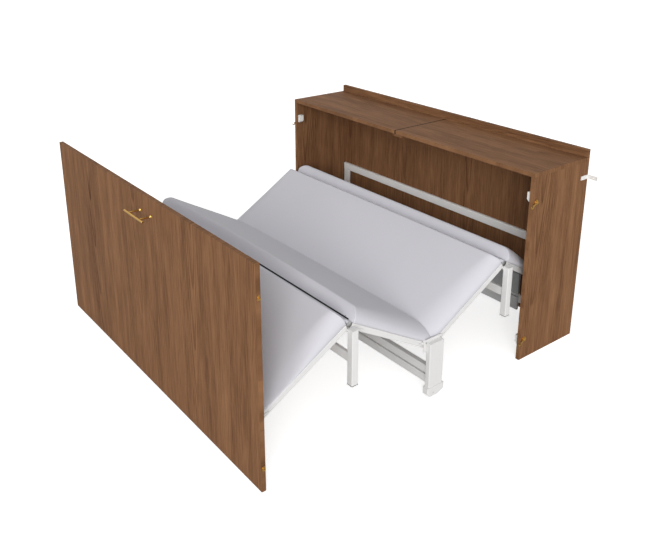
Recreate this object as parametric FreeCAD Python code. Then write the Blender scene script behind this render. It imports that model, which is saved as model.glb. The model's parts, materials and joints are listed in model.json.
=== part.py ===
"""Cabinet bed: a low wall cabinet whose front panel pulls a folding double bed out behind it.

Four padded sections stand in two tents. The rear tent hangs on a steel frame at the back of the cabinet,
the front tent on a steel frame behind the front panel, and a wheeled leg frame carries both where they meet.
A hanging leg frame drops from each ridge and stands on the floor once the bed is flat.
The model is at rest half unfolded. X runs across the bed, +Y towards the wall, Z up.
While the pieces are made, Y = 0 is the cabinet's front edge; export moves the origin to the middle of the base.
"""
import FreeCAD, Part
import math
import os

from FreeCAD import Vector

# ---- cabinet boards ----
cabinetWidth = 1700.0
cabinetDepth = 380.0
cabinetHeight = 882.0
boardThick = 18.0
backThick = 12.0
backLift = 20.0            # gap under the back panel, for the skirting
splashRise = 36.0          # backsplash above the top
topJointGap = 2.0          # between the two top boards
battenWidth = 60.0

# ---- front panel ----
panelFloorGap = 6.0
panelTopGap = 10.0         # front panel's top edge below the cabinet's
closedGap = 1.0            # front panel to cabinet edge, when shut

# ---- folding geometry ----
restAngle = 30.0           # slope of the sections as modelled, degrees
pivotHeight = 252.0        # height of the low pivots, the rails' top line when the bed is flat
rearPivotInset = 46.0      # rear pivot to the back of the cabinet
frontPivotInset = 31.0     # front pivot to the front panel's inner face
rearSection = 436.0        # low pivot to ridge, along the rail
frontSection = 442.0
ridgeDrop = 29.5           # ridge pin below the rails' top line
valleySpacing = 79.0       # between the two low pivots on the wheeled leg frame

# ---- section frames ----
railOuter = 775.0          # outer face of the side rails
railSize = 25.0
tubeWall = 1.5
sideStep = 0.5             # rear-facing sections are this much narrower, so ears pass each other
railValleyEnd = 10.0       # rail past its low pivot
railRidgeEnd = 2.0         # rail short of its ridge pin
earThick = 6.0
earRadius = 11.0
earNeck = 34.0             # half the foot of an ear where it is welded to the rail
crossbarHeight = 16.0
crossbarInset = 24.0       # low crossbar from the low pivot
crossbarRidge = 60.0       # ridge crossbar from the ridge pin
slatThick = 9.0
slatWidth = 80.0
slatCount = 9
slatEdge = 40.0            # outermost slat's edge from the rail
slatLowEnd = 18.0
slatRidgeEnd = 28.0

# ---- pins ----
pinRadius = 4.0
runClearance = 0.05
headRadius = 7.0
headThick = 4.0
bodyGap = 0.5

# ---- hanging leg frames ----
legInner = 782.0           # inner face of every leg
legSize = 30.0
legTop = 14.0              # leg above its ridge pin
floorGap = 3.0             # foot above the floor when the bed is flat
footCap = 8.0
legBarHeight = 38.0
legBarDepth = 16.0
legBarLift = 90.0          # crossbar above the foot

# ---- wheeled leg frame ----
plateThick = 4.0
plateReach = 13.0          # hinge plate past each low pivot
plateDrop = 45.0
wheelPostWidth = 79.0
wheelPostDepth = 24.0
wheelPostTop = 2.0         # post above the low pivots
wheelPostBottom = 50.0
upperBarHeight = 100.0
lowerBarHeight = 56.0
wheelBarDepth = 25.0
wheelBarOffset = -12.0
wheelBarSize = 36.0

# ---- castors ----
castorRadius = 24.0
castorWidth = 14.0
castorAxle = 3.0
castorOffset = -14.0       # wheel centre from the post's middle
housingLength = 93.0
housingWidth = 31.0
housingHeight = 52.0
housingGround = 9.0
housingTail = 24.0         # height of the housing's rear lower edge
housingRound = 12.0
wheelClearance = 2.0
frontCastorSpread = 600.0
forkThick = 4.0
forkPlate = 5.0

# ---- standing frames ----
frameTube = 42.0
frameDepth = 15.0
frameTop = 438.0
frameBottom = 50.0
backFrameGap = 7.0         # back frame to each side board
frontFrameGap = 3.0        # front frame to the catch strikes
backPostWidth = 42.0
frontPostWidth = 30.0
cleatWidth = 30.0
cleatSpread = 420.0
cleatTop = 205.0
bracketThick = 6.0
flangeThick = 3.0
flangeHalf = 25.0
bracketClear = 1.5         # pivot bracket from the rail's ear

# ---- low grey boards ----
kickHalf = 560.0
kickThick = 12.0
kickSpans = [(14.0, 83.0), (101.0, 210.0)]

# ---- pads ----
padHalf = 773.8
padSeat = 0.3
padRidgeGap = 0.5
padEdge = 90.0             # width of the soft edge at each side
padEdgeShare = 0.45
wallPadLow = 24.0          # thickness of the two outer pads over the low half
valleyPadLow = 35.0
padRidgeHigh = 50.0
padRidgeEnd = 15.0         # thickness at the ridge, where two pads meet
padRidgeRound = 60.0       # length of the rounded ridge end

# ---- fittings ----
handleLength = 164.0
handleOffset = 65.0        # handle's middle to the right of the panel's
handleDrop = 76.0          # handle below the front panel's top edge
handleStandoff = 50.0
handleRadius = 4.6
handlePostRadius = 3.2
handlePostSpan = 92.0
handleFlare = 6.5
hookLow = 101.0            # lower hooks above the floor
hookDrop = 130.0           # upper hooks below the cabinet's top
hookInset = 22.0           # hook pivot behind the cabinet's front edge
hookLift = 60.0            # how far the hooks are raised from hanging, as modelled, degrees
hookThick = 3.5
rosetteRadius = 12.0
rosetteThick = 2.5
hookEyeRadius = 8.0
hookArm = 7.0
crookInner = 4.6
crookWall = 3.8
keeperRadius = 3.0
keeperLength = 11.0
keeperPlate = 9.0
keeperPlateThick = 1.5
catchLow = 90.0
catchDrop = 112.0
catchTall = 42.0
catchProud = 20.0
catchDeep = 24.0
catchInset = 10.0
strikeThick = 7.0
strikeWide = 17.0
wallBracketDrop = 90.0
wallBracketTall = 18.0
wallBracketArm = 50.0
wallBracketThick = 2.5
wallBracketHole = 3.0
angleLeg = 30.0
angleThick = 2.0
angleLength = 40.0

# ---- worked out from the sizes above ----
halfWidth = cabinetWidth / 2
sideInner = halfWidth - boardThick
topUnder = cabinetHeight - boardThick
backInner = cabinetDepth - backThick
rearPivotY = cabinetDepth - rearPivotInset
panelHeight = cabinetHeight - panelTopGap - panelFloorGap
handleHeight = panelFloorGap + panelHeight - handleDrop
hookHeights = (hookLow, cabinetHeight - hookDrop)
catchHeights = (catchLow, cabinetHeight - catchDrop)
wallBracketHeight = cabinetHeight - wallBracketDrop
backFrameFront = backInner - frameDepth
backFrameHalf = sideInner - backFrameGap
frontFrameHalf = sideInner - strikeWide - frontFrameGap


def ridgeRun(length, degrees):
    """Level distance from a section's low pivot to its ridge pin."""
    a = math.radians(degrees)
    return length * math.cos(a) + ridgeDrop * math.sin(a)


def ridgeRise(length, degrees):
    a = math.radians(degrees)
    return length * math.sin(a) - ridgeDrop * math.cos(a)


def reach(degrees):
    """Level distance from the rear pivot to the front pivot."""
    return 2 * ridgeRun(rearSection, degrees) + valleySpacing + 2 * ridgeRun(frontSection, degrees)


def angleFor(span):
    """Slope at which the two pivots are this far apart, from level * cos(a) + drop * sin(a) = span."""
    level = 2 * (rearSection + frontSection)
    drop = 4 * ridgeDrop
    return math.degrees(math.atan2(drop, level) + math.acos((span - valleySpacing) / math.hypot(level, drop)))


# slope of the sections with the cabinet shut, where the front panel stands closedGap off the cabinet's edge
closedAngle = angleFor(rearPivotY - frontPivotInset + closedGap)
rearRidge = (rearPivotY - ridgeRun(rearSection, restAngle), pivotHeight + ridgeRise(rearSection, restAngle))
valleyRearY = rearPivotY - 2 * ridgeRun(rearSection, restAngle)
valleyFrontY = valleyRearY - valleySpacing
valleyMidY = (valleyRearY + valleyFrontY) / 2
frontRidge = (valleyFrontY - ridgeRun(frontSection, restAngle), pivotHeight + ridgeRise(frontSection, restAngle))
frontPivotY = rearPivotY - reach(restAngle)
panelInner = frontPivotY - frontPivotInset
panelOuter = panelInner - boardThick
legLength = pivotHeight - ridgeDrop - floorGap                # ridge pin to the foot
originY = (cabinetDepth + panelOuter - handleStandoff - handleRadius) / 2
hookReach = hookInset + closedGap + boardThick / 2            # hook pivot to keeper, when shut

os.makedirs("parts", exist_ok=True)


# ---- small builders ----
def block(x0, x1, y0, y1, z0, z1):
    return Part.makeBox(x1 - x0, y1 - y0, z1 - z0, Vector(x0, y0, z0))


def rod(radius, start, end):
    along = Vector(*end) - Vector(*start)
    return Part.makeCylinder(radius, along.Length, Vector(*start), along)


def mirrored(shape):
    """The same piece on the other side of the bed."""
    return shape.mirror(Vector(0, 0, 0), Vector(1, 0, 0))


def pair(shape):
    return Part.makeCompound([shape, mirrored(shape)])


def group(shapes):
    """One node of separate solids."""
    solids = []
    for shape in shapes:
        solids += shape.Solids
    return Part.makeCompound(solids)


def boxTube(x0, x1, y0, y1, z0, z1, axis):
    """A hollow rectangular tube, open along axis, with softened long edges."""
    outer = block(x0, x1, y0, y1, z0, z1)
    index = "xyz".index(axis)
    longEdges = []
    for edge in outer.Edges:
        run = edge.Vertexes[1].Point - edge.Vertexes[0].Point
        if abs(run[index]) > 0.5 * run.Length:
            longEdges.append(edge)
    outer = outer.makeFillet(2 * tubeWall, longEdges)
    low = [x0 + tubeWall, y0 + tubeWall, z0 + tubeWall]
    high = [x1 - tubeWall, y1 - tubeWall, z1 - tubeWall]
    low[index] -= 2 * tubeWall
    high[index] += 2 * tubeWall
    return outer.cut(block(low[0], high[0], low[1], high[1], low[2], high[2]))


def extrudeX(points, x0, x1):
    """A polygon of (y, z) points carried from x0 to x1."""
    wire = Part.makePolygon([Vector(x0, y, z) for y, z in points + points[:1]])
    return Part.Face(wire).extrude(Vector(x1 - x0, 0, 0))


def lug(x0, x1, centre, foot, radius):
    """A welded hinge ear: an eye of the given radius blended into a straight foot from (y, z) to (y, z)."""
    cy, cz = centre
    eye = rod(radius, (x0, cy, cz), (x1, cy, cz))
    (ay, az), (by, bz) = foot
    across = Vector(0, by - ay, bz - az).normalize() * radius
    web = extrudeX([(ay, az), (by, bz), (cy + across.y, cz + across.z), (cy - across.y, cz - across.z)], x0, x1)
    return eye.fuse(web).removeSplitter()


def pinHole(x0, x1, y, z, radius):
    return rod(radius, (x0, y, z), (x1, y, z))


# ---- sections ----
class Section:
    """A padded section in its own flat frame: s runs from the low pivot to the ridge, t up from the rails' top."""

    def __init__(self, name, length, towards, lowPivotY, narrow, padLow, padStep):
        self.name = name
        self.length = length
        self.towards = towards           # -1 when the ridge lies to the front of the low pivot, 1 behind it
        self.lowPivotY = lowPivotY
        self.step = sideStep if narrow else 0.0
        self.narrow = narrow
        self.padLow = padLow
        self.padStep = padStep           # s where the pad may thicken, 0 from the start

    def place(self, shape):
        shape = shape.copy()
        shape.rotate(Vector(0, 0, 0), Vector(1, 0, 0), self.towards * restAngle)
        shape.translate(Vector(0, self.lowPivotY, pivotHeight))
        return shape

    def slab(self, x0, x1, s0, s1, t0, t1):
        ends = sorted((self.towards * s0, self.towards * s1))
        return block(x0, x1, ends[0], ends[1], t0, t1)

    def tube(self, x0, x1, s0, s1, t0, t1, axis):
        ends = sorted((self.towards * s0, self.towards * s1))
        return boxTube(x0, x1, ends[0], ends[1], t0, t1, axis)

    def at(self, s, t):
        return (self.towards * s, t)

    def rails(self):
        outer = railOuter - self.step
        rail = self.tube(outer - railSize, outer, -railValleyEnd, self.length - railRidgeEnd, -railSize, 0, "y")
        lowFoot = (self.at(-railValleyEnd, -railSize / 2), self.at(earNeck, -railSize / 2))
        lowEar = lug(outer, outer + earThick, self.at(0, 0), lowFoot, earRadius)
        earIn = outer - railSize - earThick if self.narrow else outer
        ridgeFoot = (self.at(self.length - 2 * earNeck, -railSize / 2),
                     self.at(self.length - railRidgeEnd, -railSize / 2))
        ridgeEar = lug(earIn, earIn + earThick, self.at(self.length, -ridgeDrop), ridgeFoot, earRadius)
        hole = pinRadius + runClearance
        lowHole = pinHole(outer - 1, outer + earThick + 1, *self.at(0, 0), hole)
        ridgeHole = pinHole(earIn - 1, earIn + earThick + 1, *self.at(self.length, -ridgeDrop), hole)
        # the eyes are bored through their own plates only, so the rail's walls stay whole
        lowEar = lowEar.cut(lowHole)
        ridgeEar = ridgeEar.cut(ridgeHole)
        side = rail.fuse([lowEar, ridgeEar])
        return self.place(pair(side))

    def crossbars(self):
        half = railOuter - self.step - railSize
        low = self.tube(-half, half, crossbarInset, crossbarInset + railSize,
                        -railSize, crossbarHeight - railSize, "x")
        half -= earThick if self.narrow else 0
        ridge = self.tube(-half, half, self.length - crossbarRidge, self.length - crossbarRidge + railSize,
                          -railSize, crossbarHeight - railSize, "x")
        return self.place(group([low, ridge]))

    def slats(self):
        half = railOuter - self.step - railSize - slatEdge - slatWidth / 2
        slats = []
        for i in range(slatCount):
            x = -half + 2 * half * i / (slatCount - 1)
            slats.append(self.slab(x - slatWidth / 2, x + slatWidth / 2, slatLowEnd, self.length - slatRidgeEnd,
                                   -slatThick, 0))
        return self.place(group(slats))

    def padOutline(self, x, share):
        """The pad's side view at x, its thickness above the seat scaled by share."""
        length = self.length
        ridge = length - padRidgeGap
        low = self.padLow
        start = self.padStep or 0.3 * length
        crest = [(-0.9 * low, 0.25 * low), (-0.6 * low, 0.66 * low), (0.02 * length, 0.95 * low),
                 (0.9 * start, low + 1)]
        for turn in (0, 35, 65, 90):             # a quarter ellipse down to the ridge
            a = math.radians(turn)
            crest.append((ridge - padRidgeRound * (1 - math.sin(a)),
                          padRidgeEnd + (padRidgeHigh - padRidgeEnd) * math.cos(a)))
        points = []
        for s, t in crest:
            y, z = self.at(s, padSeat + share * t)
            points.append(Vector(x, y, z))
        curve = Part.BSplineCurve()
        curve.interpolate(points)
        lowY, lowZ = self.at(-0.9 * low, padSeat)
        endY, endZ = self.at(ridge, padSeat)
        first = Part.makeLine(Vector(x, lowY, lowZ), points[0])
        last = Part.makeLine(points[-1], Vector(x, endY, endZ))
        base = Part.makeLine(Vector(x, endY, endZ), Vector(x, lowY, lowZ))
        return Part.Wire([first, curve.toShape(), last, base])

    def pad(self):
        stations = [(-padHalf, padEdgeShare), (-padHalf + padEdge, 1.0), (padHalf - padEdge, 1.0),
                    (padHalf, padEdgeShare)]
        wires = [self.padOutline(x, share) for x, share in stations]
        return self.place(Part.makeLoft(wires, True, True))


def sections():
    barTop = (frameTop - pivotHeight) + 8.0
    return [
        Section("section_1", rearSection, -1, rearPivotY, False, wallPadLow, barTop),
        Section("section_2", rearSection, 1, valleyRearY, True, valleyPadLow, 0.0),
        Section("section_3", frontSection, -1, valleyFrontY, False, valleyPadLow, 0.0),
        Section("section_4", frontSection, 1, frontPivotY, True, wallPadLow, barTop),
    ]


# ---- leg frames ----
def hangingLegs(ridge):
    """Posts, crossbar, foot caps and ridge pins of the leg frame that hangs from a ridge at (y, z)."""
    y, z = ridge
    foot = z - legLength
    outer = legInner + legSize
    half = legSize / 2
    post = boxTube(legInner, outer, y - half, y + half, foot + footCap / 2, z + legTop, "z")
    post = post.cut(pinHole(legInner - 1, legInner + tubeWall + 1, y, z, pinRadius))
    lid = block(legInner + tubeWall, outer - tubeWall, y - half + tubeWall, y + half - tubeWall,
                z + legTop - tubeWall, z + legTop)
    bar = boxTube(-legInner, legInner, y - legBarDepth / 2, y + legBarDepth / 2,
                  foot + legBarLift, foot + legBarLift + legBarHeight, "x")
    cap = block(legInner, outer, y - half, y + half, foot, foot + footCap / 2)
    plug = block(legInner + tubeWall, outer - tubeWall, y - half + tubeWall, y + half - tubeWall,
                 foot + footCap / 2, foot + 2 * footCap)
    headEnd = railOuter - sideStep - railSize - earThick - bodyGap
    shank = rod(pinRadius, (headEnd, y, z), (outer - 2 * tubeWall - 1, y, z))
    head = rod(headRadius, (headEnd - headThick, y, z), (headEnd, y, z))
    return {
        "posts": pair(post.fuse(lid)),
        "crossbar": bar,
        "feet": pair(cap.fuse(plug)),
        "pins": pair(shank.fuse(head)),
    }


def wheeledLegs():
    """The frame that carries the two low ends in the middle of the bed."""
    plateIn = legInner
    postIn = plateIn + plateThick
    postOut = postIn + wheelPostDepth
    half = wheelPostWidth / 2
    reachY = valleySpacing / 2 + plateReach
    plate = block(plateIn, postIn, valleyMidY - reachY, valleyMidY + reachY,
                  pivotHeight - plateDrop, pivotHeight + plateReach)
    corners = [e for e in plate.Edges if abs(e.Vertexes[0].Point.x - e.Vertexes[1].Point.x) > plateThick / 2]
    plate = plate.makeFillet(plateReach - 1, corners)
    for y in (valleyRearY, valleyFrontY):
        plate = plate.cut(pinHole(plateIn - 1, postIn + 1, y, pivotHeight, pinRadius))
    post = boxTube(postIn, postOut, valleyMidY - half, valleyMidY + half, wheelPostBottom,
                   pivotHeight + wheelPostTop, "z")
    lid = block(postIn + tubeWall, postOut - tubeWall, valleyMidY - half + tubeWall, valleyMidY + half - tubeWall,
                pivotHeight + wheelPostTop - tubeWall, pivotHeight + wheelPostTop)
    barY = valleyMidY + wheelBarOffset
    bars = []
    for z in (lowerBarHeight, upperBarHeight):
        bars.append(boxTube(-postIn, postIn, barY - wheelBarDepth / 2, barY + wheelBarDepth / 2,
                            z, z + wheelBarSize, "x"))
    pins = []
    for y in (valleyRearY, valleyFrontY):
        pins.append(pair(rod(pinRadius, (railOuter + runClearance, y, pivotHeight), (postIn, y, pivotHeight))))
    return {
        "posts": pair(post.fuse([lid, plate])),
        "crossbars": group(bars),
        "pins": group(pins),
    }


def castorHousing():
    """Boot over a wheel at the foot of a wheeled post: a profile across the bed with a slot for the wheel."""
    mid = legInner + plateThick + wheelPostDepth / 2
    x0, x1 = mid - housingWidth / 2, mid + housingWidth / 2
    front = valleyMidY - housingLength / 2
    rear = valleyMidY + housingLength / 2
    wheelY = valleyMidY + castorOffset
    profile = [(front, housingHeight), (front, housingGround + housingRound), (front + housingRound, housingGround),
               (wheelY + castorRadius, housingGround), (rear, housingTail), (rear, housingHeight)]
    shell = extrudeX(profile, x0, x1)
    upright = [e for e in shell.Edges
               if abs(e.Vertexes[0].Point.z - e.Vertexes[1].Point.z) > 0.9 * e.Length and e.Length > housingRound]
    shell = shell.makeFillet(housingRound / 3, upright)
    slotHalf = castorWidth / 2 + wheelClearance
    slot = rod(castorRadius + wheelClearance, (mid - slotHalf, wheelY, castorRadius),
               (mid + slotHalf, wheelY, castorRadius))
    mouth = block(mid - slotHalf, mid + slotHalf, wheelY - castorRadius - wheelClearance,
                  wheelY + castorRadius + wheelClearance, -1, castorRadius)
    socket = block(mid - wheelPostDepth / 2, mid + wheelPostDepth / 2, valleyMidY - wheelPostWidth / 2,
                   valleyMidY + wheelPostWidth / 2, wheelPostBottom, housingHeight + 1)
    bore = rod(castorAxle, (x0 - 1, wheelY, castorRadius), (x1 + 1, wheelY, castorRadius))
    shell = shell.cut([slot.fuse(mouth), socket, bore])
    axle = rod(castorAxle, (x0, wheelY, castorRadius), (x1, wheelY, castorRadius))
    return shell, axle


def wheel(x, y):
    """A tyred wheel on its hub, turned about an X axis through (x, y)."""
    half = castorWidth / 2
    rim = castorRadius
    bore = castorAxle + runClearance
    profile = [(-half, bore), (half, bore), (half, 0.4 * rim), (0.7 * half, 0.5 * rim), (0.7 * half, 0.78 * rim),
               (half, 0.84 * rim), (half, rim - 2), (half - 2, rim), (2 - half, rim), (-half, rim - 2),
               (-half, 0.84 * rim), (-0.7 * half, 0.78 * rim), (-0.7 * half, 0.5 * rim), (-half, 0.4 * rim)]
    wire = Part.makePolygon([Vector(x + a, y, castorRadius + r) for a, r in profile + profile[:1]])
    return Part.Face(wire).revolve(Vector(x, y, castorRadius), Vector(1, 0, 0), 360)


# ---- standing frames and their pivot brackets ----
def standingFrame(half, postWidth, front, back):
    """Four tubes round the window that a tent folds against, with y from front to back."""
    low = boxTube(-half, half, front, back, frameBottom, frameBottom + frameTube, "x")
    high = boxTube(-half, half, front, back, frameTop - frameTube, frameTop, "x")
    post = boxTube(half - postWidth, half, front, back, frameBottom + frameTube, frameTop - frameTube, "z")
    return [low, high, post, mirrored(post)]


def pivotBracket(pivotY, faceY, postOut):
    """Ear and flange that hold a low pivot in front of a standing frame's post, with its pin."""
    ear = legInner + bodyGap
    towards = 1 if faceY > pivotY else -1
    foot = ((faceY, pivotHeight - flangeHalf), (faceY, pivotHeight + flangeHalf))
    plate = lug(ear, ear + bracketThick, (pivotY, pivotHeight), foot, earRadius)
    plate = plate.cut(pinHole(ear - 1, ear + bracketThick + 1, pivotY, pivotHeight, pinRadius))
    flange = block(ear, postOut, min(faceY, faceY - towards * flangeThick), max(faceY, faceY - towards * flangeThick),
                   pivotHeight - flangeHalf, pivotHeight + flangeHalf)
    shank = rod(pinRadius, (railOuter + runClearance, pivotY, pivotHeight), (ear + bracketThick, pivotY, pivotHeight))
    head = rod(headRadius, (ear + bracketThick, pivotY, pivotHeight),
               (ear + bracketThick + headThick, pivotY, pivotHeight))
    return group([pair(plate.fuse(flange)), pair(shank.fuse(head))])


def backFrame():
    tubes = standingFrame(backFrameHalf, backPostWidth, backFrameFront, backFrameFront + frameDepth)
    cleat = boxTube(cleatSpread - cleatWidth / 2, cleatSpread + cleatWidth / 2, backFrameFront,
                    backFrameFront + frameDepth, frameBottom + frameTube, cleatTop, "z")
    return group(tubes + [cleat, mirrored(cleat)])


def kickBoards():
    return group([block(-kickHalf, kickHalf, backFrameFront - kickThick, backFrameFront, z0, z1)
                  for z0, z1 in kickSpans])


# ---- cabinet ----
def cabinet():
    side = block(sideInner, halfWidth, 0, cabinetDepth, 0, topUnder)
    top = block(topJointGap / 2, halfWidth, 0, cabinetDepth - boardThick, topUnder, cabinetHeight)
    back = block(-sideInner, sideInner, backInner, cabinetDepth, backLift, topUnder)
    splash = block(-halfWidth, halfWidth, cabinetDepth - boardThick, cabinetDepth, topUnder,
                   cabinetHeight + splashRise)
    batten = block(-battenWidth / 2, battenWidth / 2, boardThick, backInner, topUnder - boardThick, topUnder)
    return {
        "side_left": mirrored(side),
        "side_right": side,
        "top_left": mirrored(top),
        "top_right": top,
        "back_panel": back,
        "backsplash": splash,
        "top_batten": batten,
    }


def angleBrackets():
    """Bent steel angles that tie the sides to the top."""
    angles = []
    for y in (cabinetDepth / 4, 3 * cabinetDepth / 4):
        upright = block(sideInner - angleThick, sideInner, y - angleLength / 2, y + angleLength / 2,
                        topUnder - angleLeg, topUnder)
        flat = block(sideInner - angleLeg, sideInner, y - angleLength / 2, y + angleLength / 2,
                     topUnder - angleThick, topUnder)
        angles.append(pair(upright.fuse(flat).removeSplitter()))
    return group(angles)


def wallBrackets():
    """Angles on the outer sides, screwed to the wall through the arm that stands out."""
    z0 = wallBracketHeight - wallBracketTall / 2
    z1 = z0 + wallBracketTall
    onSide = block(halfWidth, halfWidth + wallBracketThick, cabinetDepth - wallBracketArm, cabinetDepth, z0, z1)
    onWall = block(halfWidth, halfWidth + wallBracketArm, cabinetDepth - wallBracketThick, cabinetDepth, z0, z1)
    holeX = halfWidth + 0.65 * wallBracketArm
    hole = rod(wallBracketHole, (holeX, cabinetDepth - 2 * wallBracketThick, wallBracketHeight),
               (holeX, cabinetDepth + 1, wallBracketHeight))
    return pair(onSide.fuse(onWall).removeSplitter().cut(hole))


def catchBlocks():
    blocks = []
    for z in catchHeights:
        body = block(sideInner - catchProud, sideInner, catchInset, catchInset + catchDeep,
                     z - catchTall / 2, z + catchTall / 2)
        nose = [e for e in body.Edges if abs(e.Vertexes[0].Point.x - (sideInner - catchProud)) < 0.1
                and abs(e.Vertexes[1].Point.x - (sideInner - catchProud)) < 0.1
                and abs(e.Vertexes[0].Point.y - e.Vertexes[1].Point.y) > catchDeep / 2]
        blocks.append(pair(body.makeChamfer(catchProud / 2, nose[-1:])))
    return group(blocks)


def strikes():
    """Counter plates for the catches, on the front panel's inner face."""
    return group([pair(block(sideInner - strikeWide, sideInner, panelInner, panelInner + strikeThick,
                             z - catchTall / 2, z + catchTall / 2)) for z in catchHeights])


# ---- hooks ----
def hook(z):
    """A flat hook on its screw on the right-hand side, raised towards the front, crook open to the front and up."""
    x0 = halfWidth + rosetteThick + bodyGap / 2
    x1 = x0 + hookThick
    crookZ = z - hookReach
    eye = rod(hookEyeRadius, (x0, hookInset, z), (x1, hookInset, z))
    arm = block(x0, x1, hookInset - hookArm / 2, hookInset + hookArm / 2, crookZ + crookInner, z)
    outer = crookInner + crookWall
    crook = rod(outer, (x0, hookInset, crookZ), (x1, hookInset, crookZ))
    mouth = block(x0 - 1, x1 + 1, hookInset - 2 * outer, hookInset, crookZ - crookInner, crookZ + crookInner)
    inner = rod(crookInner, (x0 - 1, hookInset, crookZ), (x1 + 1, hookInset, crookZ))
    body = eye.fuse([arm, crook]).cut(inner.fuse(mouth))
    body = body.cut(pinHole(x0 - 1, x1 + 1, hookInset, z, castorAxle + runClearance)).removeSplitter()
    body.rotate(Vector(x0, hookInset, z), Vector(1, 0, 0), -hookLift)
    return body


def hookPlates():
    """Rosette and shouldered screw that carry each hook."""
    pieces = []
    x0 = halfWidth + rosetteThick
    x1 = x0 + bodyGap + hookThick
    for z in hookHeights:
        rosette = rod(rosetteRadius, (halfWidth, hookInset, z), (x0, hookInset, z))
        screw = rod(castorAxle, (x0, hookInset, z), (x1, hookInset, z))
        cap = rod(hookEyeRadius - 1, (x1, hookInset, z), (x1 + 2, hookInset, z))
        cap = cap.makeFillet(1.2, [e for e in cap.Edges if e.Closed and abs(e.CenterOfMass.x - x1 - 2) < 0.1])
        pieces.append(pair(rosette.fuse([screw, cap])))
    return group(pieces)


def keepers():
    """Round keepers on the front panel's ends that the hooks drop over."""
    y = (panelInner + panelOuter) / 2
    pieces = []
    for z in hookHeights:
        plate = block(halfWidth, halfWidth + keeperPlateThick, y - keeperPlate / 2, y + keeperPlate / 2,
                      z - keeperPlate, z + keeperPlate)
        stud = rod(keeperRadius, (halfWidth, y, z), (halfWidth + keeperLength, y, z))
        pieces.append(pair(plate.fuse(stud)))
    return group(pieces)


# ---- front panel ----
def frontPanel():
    return block(-halfWidth, halfWidth, panelOuter, panelInner, panelFloorGap, panelFloorGap + panelHeight)


def handle():
    """A round bar on two flared posts."""
    y = panelOuter - handleStandoff
    bar = rod(handleRadius, (handleOffset - handleLength / 2, y, handleHeight),
              (handleOffset + handleLength / 2, y, handleHeight))
    bar = bar.makeFillet(handleRadius / 3, [e for e in bar.Edges if e.Closed])
    posts = []
    for x in (handleOffset - handlePostSpan / 2, handleOffset + handlePostSpan / 2):
        post = rod(handlePostRadius, (x, y, handleHeight), (x, panelOuter, handleHeight))
        flare = Part.makeCone(handlePostRadius, handleFlare, handleFlare, Vector(x, panelOuter - handleFlare,
                                                                                 handleHeight), Vector(0, 1, 0))
        posts.append(post.fuse(flare).cut(bar))
    return bar, group(posts)


def frontForks():
    """Fixed castor forks behind the front frame's lower tube."""
    y0 = panelInner + frameDepth
    wheelY = y0 + forkPlate + wheelClearance + castorRadius
    cheekIn = castorWidth / 2 + wheelClearance
    pieces = []
    for x in (-frontCastorSpread, frontCastorSpread):
        plate = block(x - cheekIn - forkThick, x + cheekIn + forkThick, y0, y0 + forkPlate,
                      castorRadius, frameBottom + frameTube)
        profile = [(y0 + forkPlate, castorRadius - 6), (wheelY + 8, castorRadius - 6), (wheelY + 8, castorRadius + 6),
                   (y0 + forkPlate, frameBottom + frameTube)]
        cheeks = [extrudeX(profile, x + cheekIn, x + cheekIn + forkThick),
                  extrudeX(profile, x - cheekIn - forkThick, x - cheekIn)]
        bore = rod(castorAxle, (x - 2 * cheekIn, wheelY, castorRadius), (x + 2 * cheekIn, wheelY, castorRadius))
        axle = rod(castorAxle, (x - cheekIn - forkThick, wheelY, castorRadius),
                   (x + cheekIn + forkThick, wheelY, castorRadius))
        cheeks = [cheek.cut(bore) for cheek in cheeks]
        pieces += [plate.fuse(cheeks), axle]
    return group(pieces), wheelY


# ---- all nodes ----
def nodes():
    parts = dict(cabinet())
    parts["angle_brackets"] = angleBrackets()
    parts["wall_brackets"] = wallBrackets()
    parts["catch_blocks"] = catchBlocks()
    parts["back_frame"] = backFrame()
    parts["kick_boards"] = kickBoards()
    parts["rear_pivot_brackets"] = pivotBracket(rearPivotY, backFrameFront, backFrameHalf)
    parts["hook_plates"] = hookPlates()
    for z, level in zip(hookHeights, ("lower", "upper")):
        parts[f"hook_{level}_right"] = hook(z)
        parts[f"hook_{level}_left"] = mirrored(hook(z))
    for section in sections():
        parts[f"{section.name}_rails"] = section.rails()
        parts[f"{section.name}_crossbars"] = section.crossbars()
        parts[f"{section.name}_slats"] = section.slats()
        parts[f"{section.name}_pad"] = section.pad()
    for name, ridge in (("rear_legs", rearRidge), ("front_legs", frontRidge)):
        for piece, shape in hangingLegs(ridge).items():
            parts[f"{name}_{piece}"] = shape
    for piece, shape in wheeledLegs().items():
        parts[f"middle_legs_{piece}"] = shape
    housing, axle = castorHousing()
    parts["castor_housings"] = pair(housing)
    parts["castor_axles"] = pair(axle)
    right = wheel(legInner + plateThick + wheelPostDepth / 2, valleyMidY + castorOffset)
    parts["middle_wheel_right"] = right
    parts["middle_wheel_left"] = mirrored(right)
    parts["front_panel"] = frontPanel()
    parts["front_frame"] = group(standingFrame(frontFrameHalf, frontPostWidth, panelInner, panelInner + frameDepth))
    parts["front_pivot_brackets"] = pivotBracket(frontPivotY, panelInner + frameDepth, frontFrameHalf)
    parts["handle_bar"], parts["handle_posts"] = handle()
    parts["hook_keepers"] = keepers()
    parts["catch_strikes"] = strikes()
    parts["front_castor_forks"], wheelY = frontForks()
    right = wheel(frontCastorSpread, wheelY)
    parts["front_wheel_right"] = right
    parts["front_wheel_left"] = mirrored(right)
    return parts


for name, shape in nodes().items():
    shape = shape.copy()
    shape.translate(Vector(0, -originY, 0))
    if not shape.isValid():
        print("not valid:", name)
    shape.exportStep(f"parts/{name}.step")

print("origin Y", round(originY, 3), "closed angle", round(closedAngle, 3), "reach at rest", round(reach(restAngle), 1))
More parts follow.
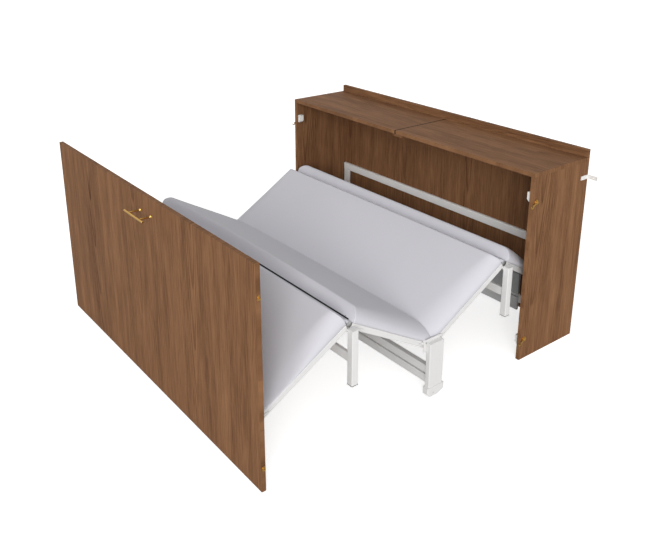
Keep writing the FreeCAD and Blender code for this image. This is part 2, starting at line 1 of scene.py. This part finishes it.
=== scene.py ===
# Cabinet bed, half unfolded: walnut laminate cabinet and front panel, white steel frames, grey padded sections.
import bmesh
import bpy
import json
import math
import numpy as np
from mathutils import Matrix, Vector


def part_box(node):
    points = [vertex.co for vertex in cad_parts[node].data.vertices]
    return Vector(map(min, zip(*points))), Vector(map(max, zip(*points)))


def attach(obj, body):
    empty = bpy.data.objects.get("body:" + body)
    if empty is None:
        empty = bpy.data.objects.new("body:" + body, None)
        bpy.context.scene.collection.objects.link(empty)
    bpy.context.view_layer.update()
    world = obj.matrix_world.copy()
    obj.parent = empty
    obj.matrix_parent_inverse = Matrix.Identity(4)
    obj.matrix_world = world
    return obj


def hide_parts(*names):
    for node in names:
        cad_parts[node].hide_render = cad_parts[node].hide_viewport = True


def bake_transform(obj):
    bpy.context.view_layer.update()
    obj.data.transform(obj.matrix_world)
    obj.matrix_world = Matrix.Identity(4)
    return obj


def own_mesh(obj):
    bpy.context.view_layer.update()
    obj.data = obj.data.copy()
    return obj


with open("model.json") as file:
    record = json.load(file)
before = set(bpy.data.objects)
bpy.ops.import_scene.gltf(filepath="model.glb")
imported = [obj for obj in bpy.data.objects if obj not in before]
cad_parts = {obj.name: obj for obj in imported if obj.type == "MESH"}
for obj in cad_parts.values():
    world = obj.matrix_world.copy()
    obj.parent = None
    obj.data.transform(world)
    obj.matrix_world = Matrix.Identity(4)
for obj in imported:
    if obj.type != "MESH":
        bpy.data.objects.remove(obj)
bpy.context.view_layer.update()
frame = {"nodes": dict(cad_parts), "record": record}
joints = {joint["name"]: joint for joint in frame["record"]["behaviour"]["joints"]}
print("frame loaded")

# ---- lamps, floor and camera ----
studio = {
    "backgroundWhite": 1.0,     # what the camera sees behind the bed
    "skyLevel": 0.53,           # what lights the bed from all round
    "zenithFall": 0.30,         # how much darker the sky is overhead
    "glowFrom": (0.63, -0.63, 0.45),
    "glowLevel": 1.00,           # wide soft glow from the front right
    "glowSpread": 2.5,
    "keyPlace": (11.6, -9.8, 4.8),
    "keySize": 6.5,
    "keyPower": 1150.0,
    "keyAim": (0.0, 0.0, 0.4),
    "floorReach": 40.0,
    "floorTone": 0.72,
    "floorLift": 0.70,          # lifts the floor to white where no shadow falls
}
view = {
    "place": (2.710, -2.01738, 1.908),
    "azimuth": 52.19,
    "elevation": 18.43,
    "lens": 42.92,
    "shiftY": -0.1623,
}


def hexColour(code):
    # sRGB hex to the linear colour a shader takes
    channels = [int(code[i:i + 2], 16) / 255 for i in (1, 3, 5)]
    return tuple(c / 12.92 if c <= 0.04045 else ((c + 0.055) / 1.055) ** 2.4 for c in channels) + (1.0,)


def addNode(tree, kind, settings=(), inputs=()):
    node = tree.nodes.new(kind)
    for name, value in dict(settings).items():
        setattr(node, name, value)
    for socket, value in dict(inputs).items():
        if isinstance(value, bpy.types.NodeSocket):
            tree.links.new(value, node.inputs[socket])
        else:
            node.inputs[socket].default_value = value
    return node


def newMaterial(name):
    material = bpy.data.materials.new(name)
    material.use_nodes = True
    tree = material.node_tree
    tree.nodes.clear()
    shader = addNode(tree, "ShaderNodeBsdfPrincipled")
    addNode(tree, "ShaderNodeOutputMaterial", {}, {"Surface": shader.outputs[0]})
    return material, tree, shader


def lightStudio():
    world = bpy.data.worlds.new("studio")
    bpy.context.scene.world = world
    world.use_nodes = True
    tree = world.node_tree
    tree.nodes.clear()
    rays = addNode(tree, "ShaderNodeLightPath")
    seen = addNode(tree, "ShaderNodeMath", {"operation": "MAXIMUM"},
                   {0: rays.outputs["Is Camera Ray"], 1: rays.outputs["Is Transmission Ray"]})
    seen = addNode(tree, "ShaderNodeMath", {"operation": "MAXIMUM"},
                   {0: seen.outputs[0], 1: rays.outputs["Is Glossy Ray"]})
    # strength = sky * (1 - zenithFall * height) + glow * max(0, ray . glow direction) ^ spread
    place = addNode(tree, "ShaderNodeTexCoord")
    ray = addNode(tree, "ShaderNodeVectorMath", {"operation": "NORMALIZE"}, {0: place.outputs["Generated"]})
    facing = addNode(tree, "ShaderNodeVectorMath", {"operation": "DOT_PRODUCT"},
                     {0: ray.outputs[0], 1: tuple(Vector(studio["glowFrom"]).normalized())})
    facing = addNode(tree, "ShaderNodeMath", {"operation": "MAXIMUM"}, {0: facing.outputs["Value"], 1: 0.0})
    glow = addNode(tree, "ShaderNodeMath", {"operation": "POWER"}, {0: facing.outputs[0], 1: studio["glowSpread"]})
    height = addNode(tree, "ShaderNodeSeparateXYZ", {}, {0: ray.outputs[0]})
    height = addNode(tree, "ShaderNodeMath", {"operation": "MAXIMUM"}, {0: height.outputs["Z"], 1: 0.0})
    sky = addNode(tree, "ShaderNodeMath", {"operation": "MULTIPLY_ADD"},
                  {0: height.outputs[0], 1: -studio["skyLevel"] * studio["zenithFall"], 2: studio["skyLevel"]})
    glow = addNode(tree, "ShaderNodeMath", {"operation": "MULTIPLY_ADD"},
                   {0: glow.outputs[0], 1: studio["glowLevel"], 2: sky.outputs[0]})
    level = addNode(tree, "ShaderNodeMix", {"data_type": "FLOAT"},
                    {"Factor": seen.outputs[0], "A": glow.outputs[0], "B": studio["backgroundWhite"]})
    sky = addNode(tree, "ShaderNodeBackground", {}, {"Color": (1, 1, 1, 1), "Strength": level.outputs[0]})
    addNode(tree, "ShaderNodeOutputWorld", {}, {"Surface": sky.outputs[0]})

    lamp = bpy.data.lights.new("key", "AREA")
    lamp.shape = "DISK"
    lamp.size = studio["keySize"]
    lamp.energy = studio["keyPower"]
    key = bpy.data.objects.new("key", lamp)
    bpy.context.collection.objects.link(key)
    key.location = studio["keyPlace"]
    key.rotation_mode = "QUATERNION"
    key.rotation_quaternion = (Vector(studio["keyAim"]) - key.location).to_track_quat("-Z", "Y")

    reach = studio["floorReach"]
    mesh = bpy.data.meshes.new("floor")
    mesh.from_pydata([(-reach, -reach, 0), (reach, -reach, 0), (reach, reach, 0), (-reach, reach, 0)], [],
                     [(0, 1, 2, 3)])
    floor = bpy.data.objects.new("floor", mesh)
    bpy.context.collection.objects.link(floor)
    material, tree, shader = newMaterial("pale floor")
    rays = addNode(tree, "ShaderNodeLightPath")
    lift = addNode(tree, "ShaderNodeMath", {"operation": "MULTIPLY"},
                   {0: rays.outputs["Is Camera Ray"], 1: studio["floorLift"]})
    shader.inputs["Base Color"].default_value = (studio["floorTone"],) * 3 + (1,)
    shader.inputs["Roughness"].default_value = 1.0
    shader.inputs["Specular IOR Level"].default_value = 0.0
    shader.inputs["Emission Color"].default_value = (1, 1, 1, 1)
    tree.links.new(lift.outputs[0], shader.inputs["Emission Strength"])
    mesh.materials.append(material)


def placeCamera():
    data = bpy.data.cameras.new("camera")
    data.sensor_width = 36
    data.lens = view["lens"]
    data.shift_y = view["shiftY"]
    data.clip_end = 60
    camera = bpy.data.objects.new("camera", data)
    camera.location = view["place"]
    camera.rotation_euler = (math.radians(90 - view["elevation"]), 0, math.radians(view["azimuth"]))
    bpy.context.collection.objects.link(camera)
    bpy.context.scene.camera = camera


lightStudio()
placeCamera()
bpy.context.scene.view_settings.view_transform = "Standard"
print("studio ready")

# ---- finishes ----
walnut = {
    "pale": "#926a4a",                  # wood between the streaks
    "dark": "#523523",                  # streaks, ring lines and pores
    "darkShare": 0.38,
    "leafHalf": 0.235,                  # half the width of a leaf of the print
    "leafShift": 2.1,                   # how far the next leaf is slid along the grain
    "ringSpacing": 0.0085,
    "taper": 0.035,                     # how fast the rings close into arches
    "heart": 0.035,
    # each noise: marks per metre across the grain, per metre along it, and how much it counts
    "wander": (3.2, 0.9, 0.09),
    "wobble": (70.0, 9.0, 0.0052),
    "fading": (5.0, 1.1),
    "streaks": (120.0, 5.5, 1.25),
    "bands": (17.0, 1.2, 1.1),
    "fineStreaks": (380.0, 13.0, 0.8),
    "pores": (620.0, 1 / 0.022, 0.22),  # pores about 22 mm long, drawn wider than the real ones so that they show
    "ringLines": 0.42,
    "jointShadeHalf": 0.0025,                 # half the painted shade line along the gap where two boards meet
    "jointShadeSoft": 0.002,
    "roughness": 0.55,
    "specular": 0.05,
}


def walnutLaminate(name, across, along, shift=(0.0, 0.0), joint=None):
    # Melamine board printed as flat-sawn walnut, which looks satin with arched rings in leaves side by side.
    # ring = hypot(distance from the leaf's middle, heart) - taper * height, and each whole ring spacing is a line
    # joint is where two boards meet across the grain, with a dark line painted along it as the shade of the gap between
    # them
    material, tree, shader = newMaterial(name)
    place = addNode(tree, "ShaderNodeTexCoord")
    split = addNode(tree, "ShaderNodeSeparateXYZ", {}, {0: place.outputs["Object"]})
    sideways = addNode(tree, "ShaderNodeMath", {"operation": "ADD"}, {0: split.outputs[across], 1: shift[0]})
    upward = addNode(tree, "ShaderNodeMath", {"operation": "ADD"}, {0: split.outputs[along], 1: shift[1]})
    flat = addNode(tree, "ShaderNodeCombineXYZ", {}, {"X": sideways.outputs[0], "Z": upward.outputs[0]})

    def stretched(marks, detail, roughness=0.5):
        scaled = addNode(tree, "ShaderNodeVectorMath", {"operation": "MULTIPLY"},
                         {0: flat.outputs[0], 1: (marks[0], 1.0, marks[1])})
        noise = addNode(tree, "ShaderNodeTexNoise", {},
                        {"Vector": scaled.outputs[0], "Scale": 1.0, "Detail": detail, "Roughness": roughness})
        return noise.outputs["Fac"]

    def maths(operation, first, second=0.0, third=0.0, clamp=False):
        node = addNode(tree, "ShaderNodeMath", {"operation": operation, "use_clamp": clamp},
                       {0: first, 1: second, 2: third})
        return node.outputs[0]

    def rescaled(value, low, high, newLow=0.0, newHigh=1.0):
        node = addNode(tree, "ShaderNodeMapRange", {"interpolation_type": "SMOOTHSTEP"},
                       {0: value, 1: low, 2: high, 3: newLow, 4: newHigh})
        return node.outputs[0]

    wander = maths("MULTIPLY_ADD", stretched(walnut["wander"], 2.0), walnut["wander"][2], sideways.outputs[0])
    leaf = maths("PINGPONG", wander, walnut["leafHalf"])
    leafNumber = maths("FLOOR", maths("DIVIDE", sideways.outputs[0], 2 * walnut["leafHalf"]))
    start = maths("MULTIPLY", maths("SINE", maths("MULTIPLY", leafNumber, 12.9)), walnut["leafShift"])
    height = maths("MULTIPLY_ADD", maths("ADD", upward.outputs[0], start), -walnut["taper"],
                   maths("MULTIPLY", stretched(walnut["wobble"], 3.0), walnut["wobble"][2]))
    bow = maths("SQRT", maths("MULTIPLY_ADD", leaf, leaf, walnut["heart"] ** 2))
    ring = maths("FRACT", maths("DIVIDE", maths("ADD", bow, height), walnut["ringSpacing"]))
    line = maths("MULTIPLY", rescaled(ring, 0.35, 0.93), rescaled(ring, 1.0, 0.95))
    nearHeart = rescaled(leaf, 0.14, 0.03, 0.25, 1.0)
    fading = rescaled(stretched(walnut["fading"], 2.0), 0.36, 0.66, 0.3, 1.0)
    line = maths("MULTIPLY", line, maths("MULTIPLY", fading, nearHeart))
    pores = rescaled(stretched(walnut["pores"], 2.0, 0.7), 0.60, 0.70)

    # darkness = share + streaks + broad bands + fine streaks + ring lines + pores
    weight = walnut["streaks"][2]
    darkness = maths("MULTIPLY_ADD", stretched(walnut["streaks"], 3.0, 0.6), weight, walnut["darkShare"] - 0.5 * weight)
    for noise, detail in (("bands", 3.0), ("fineStreaks", 2.0)):
        about = maths("SUBTRACT", stretched(walnut[noise], detail, 0.6), 0.5)
        darkness = maths("MULTIPLY_ADD", about, walnut[noise][2], darkness)
    darkness = maths("MULTIPLY_ADD", line, walnut["ringLines"], darkness)
    darkness = maths("MULTIPLY_ADD", pores, walnut["pores"][2], darkness, True)
    # painted shade: a line darker than the dark wood along the joint, where the gap between the boards shades
    if joint is not None:
        away = maths("ABSOLUTE", maths("SUBTRACT", split.outputs[along], joint))
        jointShade = rescaled(away, walnut["jointShadeHalf"] + walnut["jointShadeSoft"], walnut["jointShadeHalf"], 0.0, 2.2)
        darkness = maths("MAXIMUM", darkness, jointShade)
    tone = addNode(tree, "ShaderNodeMix", {"data_type": "RGBA", "clamp_factor": False},
                   {0: darkness, 6: hexColour(walnut["pale"]), 7: hexColour(walnut["dark"])})
    tree.links.new(tone.outputs[2], shader.inputs["Base Color"])
    shader.inputs["Roughness"].default_value = walnut["roughness"]
    shader.inputs["Specular IOR Level"].default_value = walnut["specular"]
    bump = addNode(tree, "ShaderNodeBump", {"invert": True}, {"Strength": 0.12, "Distance": 0.0006, "Height": pores})
    tree.links.new(bump.outputs[0], shader.inputs["Normal"])
    return material


def plainFinish(name, colour, roughness, metallic=0.0, specular=0.5, grain=0.0):
    # One colour; grain is the strength of a fine orange peel, 1.6 mm from bump to bump and 0.2 mm high.
    material, tree, shader = newMaterial(name)
    shader.inputs["Base Color"].default_value = hexColour(colour)
    shader.inputs["Roughness"].default_value = roughness
    shader.inputs["Metallic"].default_value = metallic
    if not metallic:
        shader.inputs["Specular IOR Level"].default_value = specular
    if grain:
        place = addNode(tree, "ShaderNodeTexCoord")
        noise = addNode(tree, "ShaderNodeTexNoise", {},
                        {"Vector": place.outputs["Object"], "Scale": 1 / 0.0016, "Detail": 2.0})
        bump = addNode(tree, "ShaderNodeBump", {},
                       {"Strength": grain, "Distance": 0.0002, "Height": noise.outputs["Fac"]})
        tree.links.new(bump.outputs[0], shader.inputs["Normal"])
    return material


padCover = {
    "tones": ("#cbcad0", "#cfced4"),    # two greys that drift into each other
    "cloudsPerMetre": 4.0,
    "threadsPerMetre": 620.0,           # a weave of about 1 mm, drawn at 1.6 mm so that it shows
    "roughness": 0.85,
    "sheen": 0.12,
}


def coverCloth():
    # Brushed polyester mattress cover: soft and matt, with a faint sheen at its edges.
    material, tree, shader = newMaterial("brushed polyester")
    place = addNode(tree, "ShaderNodeTexCoord")
    weave = addNode(tree, "ShaderNodeTexNoise", {},
                    {"Vector": place.outputs["Object"], "Scale": padCover["threadsPerMetre"], "Detail": 2.0})
    cloud = addNode(tree, "ShaderNodeTexNoise", {},
                    {"Vector": place.outputs["Object"], "Scale": padCover["cloudsPerMetre"], "Detail": 3.0})
    tones = [hexColour(code) for code in padCover["tones"]]
    tone = addNode(tree, "ShaderNodeMix", {"data_type": "RGBA"}, {0: cloud.outputs["Fac"], 6: tones[0], 7: tones[1]})
    tree.links.new(tone.outputs[2], shader.inputs["Base Color"])
    shader.inputs["Roughness"].default_value = padCover["roughness"]
    shader.inputs["Specular IOR Level"].default_value = 0.25
    shader.inputs["Sheen Weight"].default_value = padCover["sheen"]
    shader.inputs["Sheen Roughness"].default_value = 0.5
    bump = addNode(tree, "ShaderNodeBump", {}, {"Strength": 0.10, "Distance": 0.0004, "Height": weave.outputs["Fac"]})
    tree.links.new(bump.outputs[0], shader.inputs["Normal"])
    return material


greyBoards = {
    "lower": "#d3d5d5",
    "upper": "#b6b9ba",
    "split": 0.092,             # height between the two boards
    "roughness": 0.5,
}


def kickFinish():
    # Grey melamine, smooth and plain, the lower board a paler grey than the upper.
    material, tree, shader = newMaterial("grey melamine")
    place = addNode(tree, "ShaderNodeTexCoord")
    split = addNode(tree, "ShaderNodeSeparateXYZ", {}, {0: place.outputs["Object"]})
    above = addNode(tree, "ShaderNodeMath", {"operation": "GREATER_THAN"},
                    {0: split.outputs["Z"], 1: greyBoards["split"]})
    tone = addNode(tree, "ShaderNodeMix", {"data_type": "RGBA"},
                   {0: above.outputs[0], 6: hexColour(greyBoards["lower"]), 7: hexColour(greyBoards["upper"])})
    tree.links.new(tone.outputs[2], shader.inputs["Base Color"])
    shader.inputs["Roughness"].default_value = greyBoards["roughness"]
    return material


topJoint = 0.5 * (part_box("top_left")[1][0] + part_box("top_right")[0][0])
finishes = {
    "upright": walnutLaminate("walnut laminate, upright on X", "X", "Z"),
    "side": walnutLaminate("walnut laminate, upright on Y", "Y", "Z", (0.31, 0.4)),
    # the top's finish also paints the shade of the gap between its two boards
    "top": walnutLaminate("walnut laminate, along the top", "Y", "X", (0.1, 0.0), topJoint),
    "splash": walnutLaminate("walnut laminate, along the backsplash", "Z", "X", (0.05, 0.7)),
    "back": walnutLaminate("walnut laminate, cabinet back", "X", "Z", (0.27, 1.3)),
    # powder coat on steel tube: satin white with a fine orange peel
    "steel": plainFinish("white powder coat", "#dedddc", 0.38, specular=0.45, grain=0.10),
    # painted light: the same white powder coat drawn paler for the back frame, so that it reads lit inside the
    # cabinet's shade
    "paintedLitSteel": plainFinish("white powder coat painted lighter", "#f1f1ef", 0.30, specular=0.45, grain=0.08),
    "zinc": plainFinish("bright zinc", "#b9babb", 0.32, 1.0),       # plated pins and brackets: dull mirror
    "brass": plainFinish("satin brass", "#cba257", 0.28, 1.0),      # brushed fittings: soft gold gleam
    "cover": coverCloth(),
    "birch": plainFinish("lacquered birch", "#d8bd92", 0.45),       # bent slats: pale and satin
    "kick": kickFinish(),
    "whiteNylon": plainFinish("white nylon", "#e6e5e2", 0.45),      # moulded, slightly glossy
    "greyNylon": plainFinish("grey nylon", "#8c8c8c", 0.5),         # moulded tube feet
    "tyre": plainFinish("grey elastomer", "#55565a", 0.6),          # soft wheel treads: dark and matt
    "gap": plainFinish("black elastic", "#26262a", 0.8),            # painted shade: black cloth at the foot of a front pad's ridge end, standing for the dark crease between the pads; matt
}
nodeFinish = {
    "side_left": "side", "side_right": "side", "top_left": "top", "top_right": "top", "back_panel": "back",
    "backsplash": "splash", "top_batten": "side", "front_panel": "upright", "kick_boards": "kick",
    "angle_brackets": "zinc", "wall_brackets": "whiteNylon", "catch_blocks": "whiteNylon",
    "catch_strikes": "whiteNylon", "handle_bar": "brass", "handle_posts": "brass", "hook_keepers": "brass",
    "hook_plates": "brass", "castor_axles": "zinc", "back_frame": "paintedLitSteel",
}


def dressNodes():
    for name in frame["nodes"]:
        node = frame["nodes"][name]
        choice = nodeFinish.get(name)
        if choice is None:
            choice = "steel"
            for part, finish in (("_slats", "birch"), ("_feet", "greyNylon"), ("_pins", "zinc"), ("_wheel_", "tyre")):
                if part in name:
                    choice = finish
            if name.startswith("hook_"):
                choice = "brass"
        node.data.materials.clear()
        node.data.materials.append(finishes[choice])


dressNodes()
print("frame dressed")

# ---- padded sections ----
slope = math.radians(30)        # every section's slope at rest
pads = {
    "halfWidth": 0.7736,
    "seat": 0.0006,             # underside above the slats
    "valleyHalf": 0.0395,       # half the space between the two low pivots of the valley
    "valleyGap": 0.0006,
    "valleySoft": 0.004,
    "sideRound": 0.110,         # width of the rounding along each side at the low end
    "ridgeNarrow": 0.45,        # share of that width left at the ridge
    "sideSquareness": 2.2,
    "ridgeSquareness": 2.6,
    "sideBulge": 0.007,
    "cornerRound": 0.007,
    "edgeSteps": 30,
    "lowSteps": 26,
    "acrossSteps": 110,
    "alongSteps": 46,
    "ridgeDrop": 0.0295,        # ridge pin below the seat
    "creaseShadeRise": 0.0092,      # how far the black painted crease shade comes up the ridge end of a front pad
    "webHalf": 0.7725,
    "webThickness": 0.0008,
    "webGap": 0.0008,
    "fill": 0.8,
}
# length is from low pivot to ridge pin, towards the way it leans, end where the foam stops, and keep the share of its
# thickness that is left when the bed is shut; crest is thickness at points along the section
sections = {
    "section_1": {
        "joint": "bed_fold", "legs": "rear_legs", "towards": -1, "length": 0.436, "end": 0.4335, "keep": 0.95,
        "crown": 0.0, "valley": False, "creaseShade": False,
        "crest": [(0.0, 0.021), (0.19, 0.0245), (0.27, 0.043), (0.36, 0.054), (0.44, 0.056)],
        "lowEnd": 0.024, "lowRound": 0.050, "lowSquareness": 2.0, "ridgeRound": 0.017,
    },
    "section_2": {
        "joint": "middle_legs_fold", "legs": "rear_legs", "towards": 1, "length": 0.436, "end": 0.4335, "keep": 0.60,
        "crown": 0.006, "valley": True, "creaseShade": False,
        "crest": [(0.0, 0.056), (0.10, 0.056), (0.22, 0.056), (0.34, 0.056), (0.44, 0.055)],
        "lowEnd": 0.036, "lowRound": 0.020, "lowSquareness": 3.5, "ridgeRound": 0.017,
    },
    "section_3": {
        "joint": "section_3_fold", "legs": "front_legs", "towards": -1, "length": 0.442, "end": 0.4395, "keep": 0.575,
        "crown": 0.008, "valley": True, "creaseShade": True,
        "crest": [(0.0, 0.060), (0.10, 0.060), (0.22, 0.058), (0.34, 0.056), (0.44, 0.055)],
        "lowEnd": 0.036, "lowRound": 0.020, "lowSquareness": 3.5, "ridgeRound": 0.022,
    },
    "section_4": {
        "joint": "front_fold", "legs": "front_legs", "towards": 1, "length": 0.442, "end": 0.4465, "keep": 0.74,
        "crown": 0.0, "valley": False, "creaseShade": True,
        "crest": [(0.0, 0.021), (0.19, 0.0245), (0.27, 0.044), (0.36, 0.060), (0.44, 0.069)],
        "lowEnd": 0.024, "lowRound": 0.050, "lowSquareness": 2.0, "ridgeRound": 0.017,
    },
}


def sectionPoint(section, x, s, t):
    # place of a point s along the section from its low pivot and t above its seat:
    # y = pivot + towards * (s * cos(slope) - t * sin(slope)), z = pivot + s * sin(slope) + t * cos(slope)
    pivot = joints[section["joint"]]["pos_m"]
    towards = section["towards"]
    y = pivot[1] + towards * (s * math.cos(slope) - t * math.sin(slope))
    z = pivot[2] + s * math.sin(slope) + t * math.cos(slope)
    return np.stack([x + 0 * y, y + 0 * x, z + 0 * x], axis=-1)


def roundedEdge(width, squareness, steps, extraHeight=None):
    # superellipse quarter from the seat up to full height:
    # distance from the edge = width * (1 - cos(turn)^(2/p)), share of the height = sin(turn)^(2/p)
    turn = np.linspace(0, math.pi / 2, steps)
    if extraHeight is not None:
        turn = np.sort(np.append(turn, np.arcsin(extraHeight ** (squareness / 2))))
    inward = width * (1 - np.clip(np.cos(turn), 0, 1) ** (2 / squareness))
    return inward, np.sin(turn) ** (2 / squareness)


def pressedFlat(s, t):
    # The valley end is pressed on the upright plane midway between the two low pivots:
    # s = softMax(s, -valleyHalf/cos + t * tan(slope)), with softMax(a, b) = (a + b + hypot(a - b, soft)) / 2
    plane = -pads["valleyHalf"] / math.cos(slope) + t * math.tan(slope) + pads["valleyGap"]
    return 0.5 * (s + plane + np.sqrt((s - plane) ** 2 + pads["valleySoft"] ** 2))


def padSurface(section):
    # Top skin over a grid of rows across the bed and columns from the low end to the ridge end:
    # t = (crest(s) + crown * (1 - (x/half)^2)) * softMin(side(x), end(s)), with softMin = (a^-8 + b^-8 - 1)^(-1/8)
    # and crest a cubic through the given points. The sides bulge by sin(pi * share of the height).
    half = pads["halfWidth"]
    knots = np.array(section["crest"])
    crestFit = np.polynomial.Polynomial.fit(knots[:, 0], knots[:, 1], 3)
    creaseShade = pads["creaseShadeRise"] / float(crestFit(section["end"])) if section["creaseShade"] else None

    sideIn, sideShare = roundedEdge(pads["sideRound"], pads["sideSquareness"], pads["edgeSteps"])
    lowIn, lowShare = roundedEdge(section["lowRound"], section["lowSquareness"], pads["lowSteps"])
    ridgeIn, ridgeShare = roundedEdge(section["ridgeRound"], pads["ridgeSquareness"], pads["edgeSteps"], creaseShade)
    inner = np.linspace(-1, 1, pads["acrossSteps"])[1:-1]
    side = np.concatenate([sideShare, np.ones(len(inner)), sideShare[::-1]])
    body = np.linspace(-section["lowEnd"] + section["lowRound"], section["end"] - section["ridgeRound"],
                       pads["alongSteps"])[1:-1]
    s = np.concatenate([-section["lowEnd"] + lowIn, body, section["end"] - ridgeIn[::-1]])
    ends = np.concatenate([lowShare, np.ones(len(body)), ridgeShare[::-1]])

    # the rounding along the sides narrows towards the ridge
    narrow = (1 - (1 - pads["ridgeNarrow"]) * np.clip(s / section["end"], 0, 1) ** 1.5)[None]
    x = np.concatenate([-half + sideIn[:, None] * narrow,
                        inner[:, None] * (half - pads["sideRound"] * narrow),
                        half - sideIn[::-1, None] * narrow])
    s = s[None] + 0 * x
    least = 1e-4
    side, ends = np.meshgrid(np.maximum(side, least), np.maximum(ends, least), indexing="ij")
    share = (side ** -8 + ends ** -8 - 1) ** (-1 / 8)
    share = np.where((side <= least) | (ends <= least), 0, share)
    t = (crestFit(s) + section["crown"] * (1 - (x / half) ** 2)) * share

    corner = pads["cornerRound"] * (1 - side) ** 2 * (1 - ends) ** 2
    bulge = pads["sideBulge"] * np.sin(math.pi * share) * (1 - side)
    s = s - np.sign(s - (section["end"] - section["lowEnd"]) / 2) * corner
    flatX, flatS = x - np.sign(x) * corner, s
    if section["valley"]:
        s, flatS = pressedFlat(s, t), pressedFlat(s, 0 * t)
    return flatX + np.sign(x) * bulge, s, t, flatX, flatS


def creaseShadeFaces(section, x, s, t):
    # Faces of the top skin at the foot of the ridge end that take black cloth as painted shade of the crease. Its upper
    # edge comes down by as much as the crest falls towards the sides: fall = 1 - (1 - inward^p)^(1/p), inward from 0 to
    # 1 at the side.
    highest = np.maximum(np.maximum(t[:-1, :-1], t[1:, :-1]), np.maximum(t[1:, 1:], t[:-1, 1:]))
    nearest = np.minimum(s[:-1, :-1], s[1:, 1:])
    power = pads["sideSquareness"]
    inward = np.clip(1 - (pads["halfWidth"] - np.abs(x)) / (pads["sideRound"] * pads["ridgeNarrow"]), 0, 1)
    fall = 1 - np.clip(1 - inward ** power, 0, 1) ** (1 / power)
    edge = (pads["creaseShadeRise"] - 0.8 * section["crest"][-1][1] * fall)[:-1, :-1]
    return (highest <= edge + 0.0002) & (nearest > section["end"] - 0.012) & section["creaseShade"]


def closedSkin(name, top, bottom, marked, materials):
    # top and bottom grids of points that share their outline, joined into one closed skin;
    # marked faces of the top take the second material
    rows, columns = top.shape[:2]
    points = np.concatenate([top.reshape(-1, 3), bottom.reshape(-1, 3)])
    index = np.arange(rows * columns).reshape(rows, columns)
    quads = np.stack([index[:-1, :-1], index[1:, :-1], index[1:, 1:], index[:-1, 1:]], axis=-1).reshape(-1, 4)
    faces = np.concatenate([quads, quads[:, ::-1] + rows * columns])
    mesh = bpy.data.meshes.new(name)
    mesh.from_pydata(points.tolist(), [], faces.tolist())
    for material in materials:
        mesh.materials.append(finishes[material])
    slots = np.concatenate([marked.reshape(-1), np.zeros(len(quads))]).astype(np.int32)
    mesh.polygons.foreach_set("material_index", slots)
    shape = bmesh.new()
    shape.from_mesh(mesh)
    bmesh.ops.remove_doubles(shape, verts=shape.verts, dist=0.00002)
    bmesh.ops.dissolve_degenerate(shape, edges=shape.edges, dist=0.000005)
    bmesh.ops.recalc_face_normals(shape, faces=shape.faces)
    shape.to_mesh(mesh)
    shape.free()
    mesh.shade_smooth()
    piece = bpy.data.objects.new(name, mesh)
    bpy.context.collection.objects.link(piece)
    return piece


def makePad(name, section):
    # Square-cut foam in a tight cover.
    x, s, t, flatX, flatS = padSurface(section)
    top = sectionPoint(section, x, s, t + pads["seat"])
    bottom = sectionPoint(section, flatX, flatS, 0 * t + pads["seat"])
    # the marked faces take black cloth, painted shade of the crease between the pads
    pad = closedSkin(name + "_cushion", top, bottom, creaseShadeFaces(section, x, s, t), ("cover", "gap"))
    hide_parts(name + "_pad")
    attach(pad, name)
    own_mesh(pad)


def makeHingeWeb(name, section):
    # Cloth band on the seat plane from a pad's ridge end to the upright plane through the ridge pin:
    # s runs along v from 0 to 1, and t = thickness * (1 - (1 - v)^4).
    ridge = section["length"] + pads["ridgeDrop"] * math.tan(slope)
    first = section["end"] + pads["webGap"]
    x = np.linspace(-pads["webHalf"], pads["webHalf"], 60)[:, None] + np.zeros((1, 9))
    v = np.linspace(0, 1, 9)[None] + np.zeros((60, 1))
    s = first + v * (ridge - first)
    t = pads["seat"] + pads["webThickness"] * (1 - (1 - v) ** 4)
    t[0] = t[-1] = t[:, 0] = pads["seat"]
    top = sectionPoint(section, x, s, t)
    bottom = sectionPoint(section, x, s, 0 * t + pads["seat"])
    web = closedSkin(name + "_hinge_web", top, bottom, np.zeros((59, 8), bool), ("cover",))
    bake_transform(web)


for name, section in sections.items():
    makePad(name, section)
    makeHingeWeb(name, section)
print("pads made")
